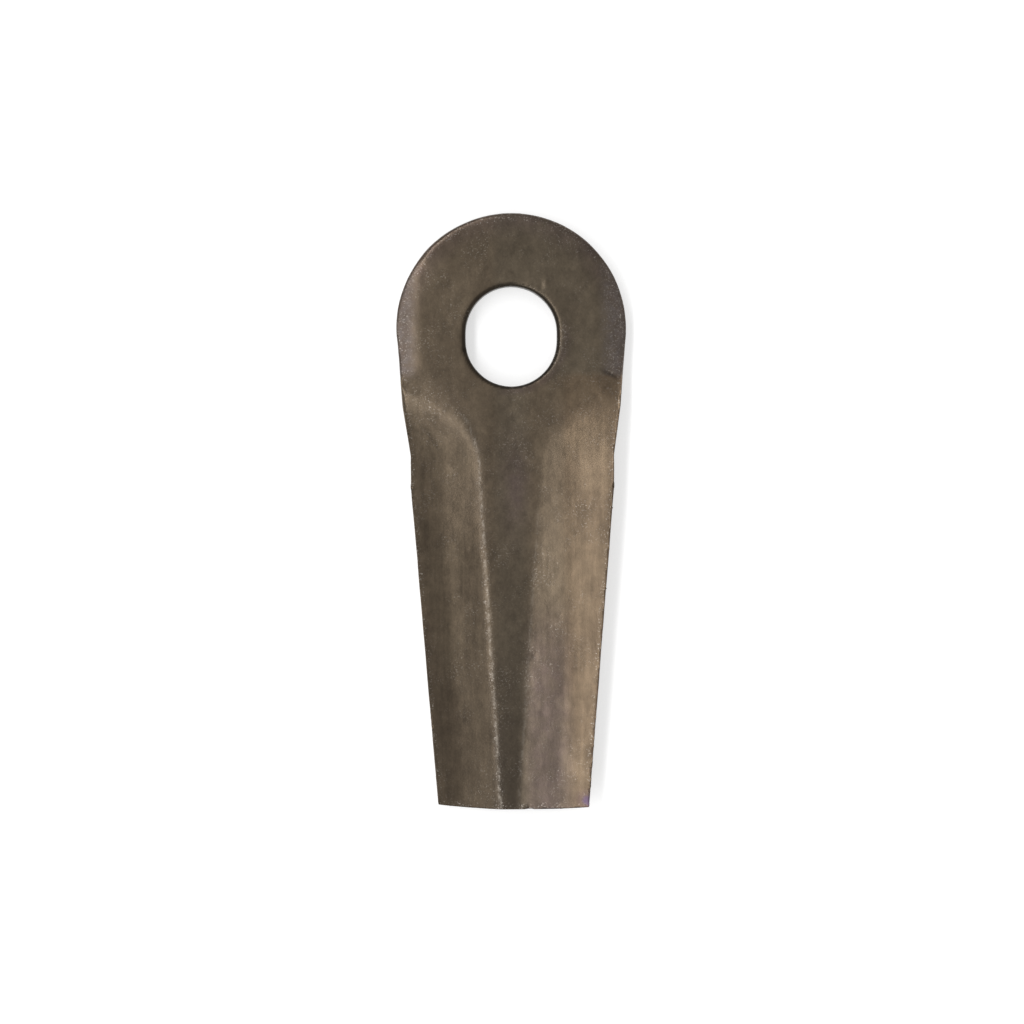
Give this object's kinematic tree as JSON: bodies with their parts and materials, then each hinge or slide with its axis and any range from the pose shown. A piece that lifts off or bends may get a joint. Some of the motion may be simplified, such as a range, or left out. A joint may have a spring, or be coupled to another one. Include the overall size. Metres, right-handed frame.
{
  "type": "rotary mower blade",
  "caption": "Forged rotary mower blade with a round slotted head, shoulders and a tapering blade whose two wings bend opposite ways.",
  "frame": {"origin": "middle of the pivot slot, half way through the head's thickness", "axes": "+Y from the pivot to the round end of the head, so the tip points along -Y; +Z square to the flat head, out of the face the picture shows"},
  "size_m": [0.048, 0.1244, 0.0086],
  "materials": {
    "forged_steel": "brown forging and tempering skin, satin, with worn bright folds"
  },
  "bodies": {
    "root": {"blade": "forged_steel"}
  },
  "joints": []
}
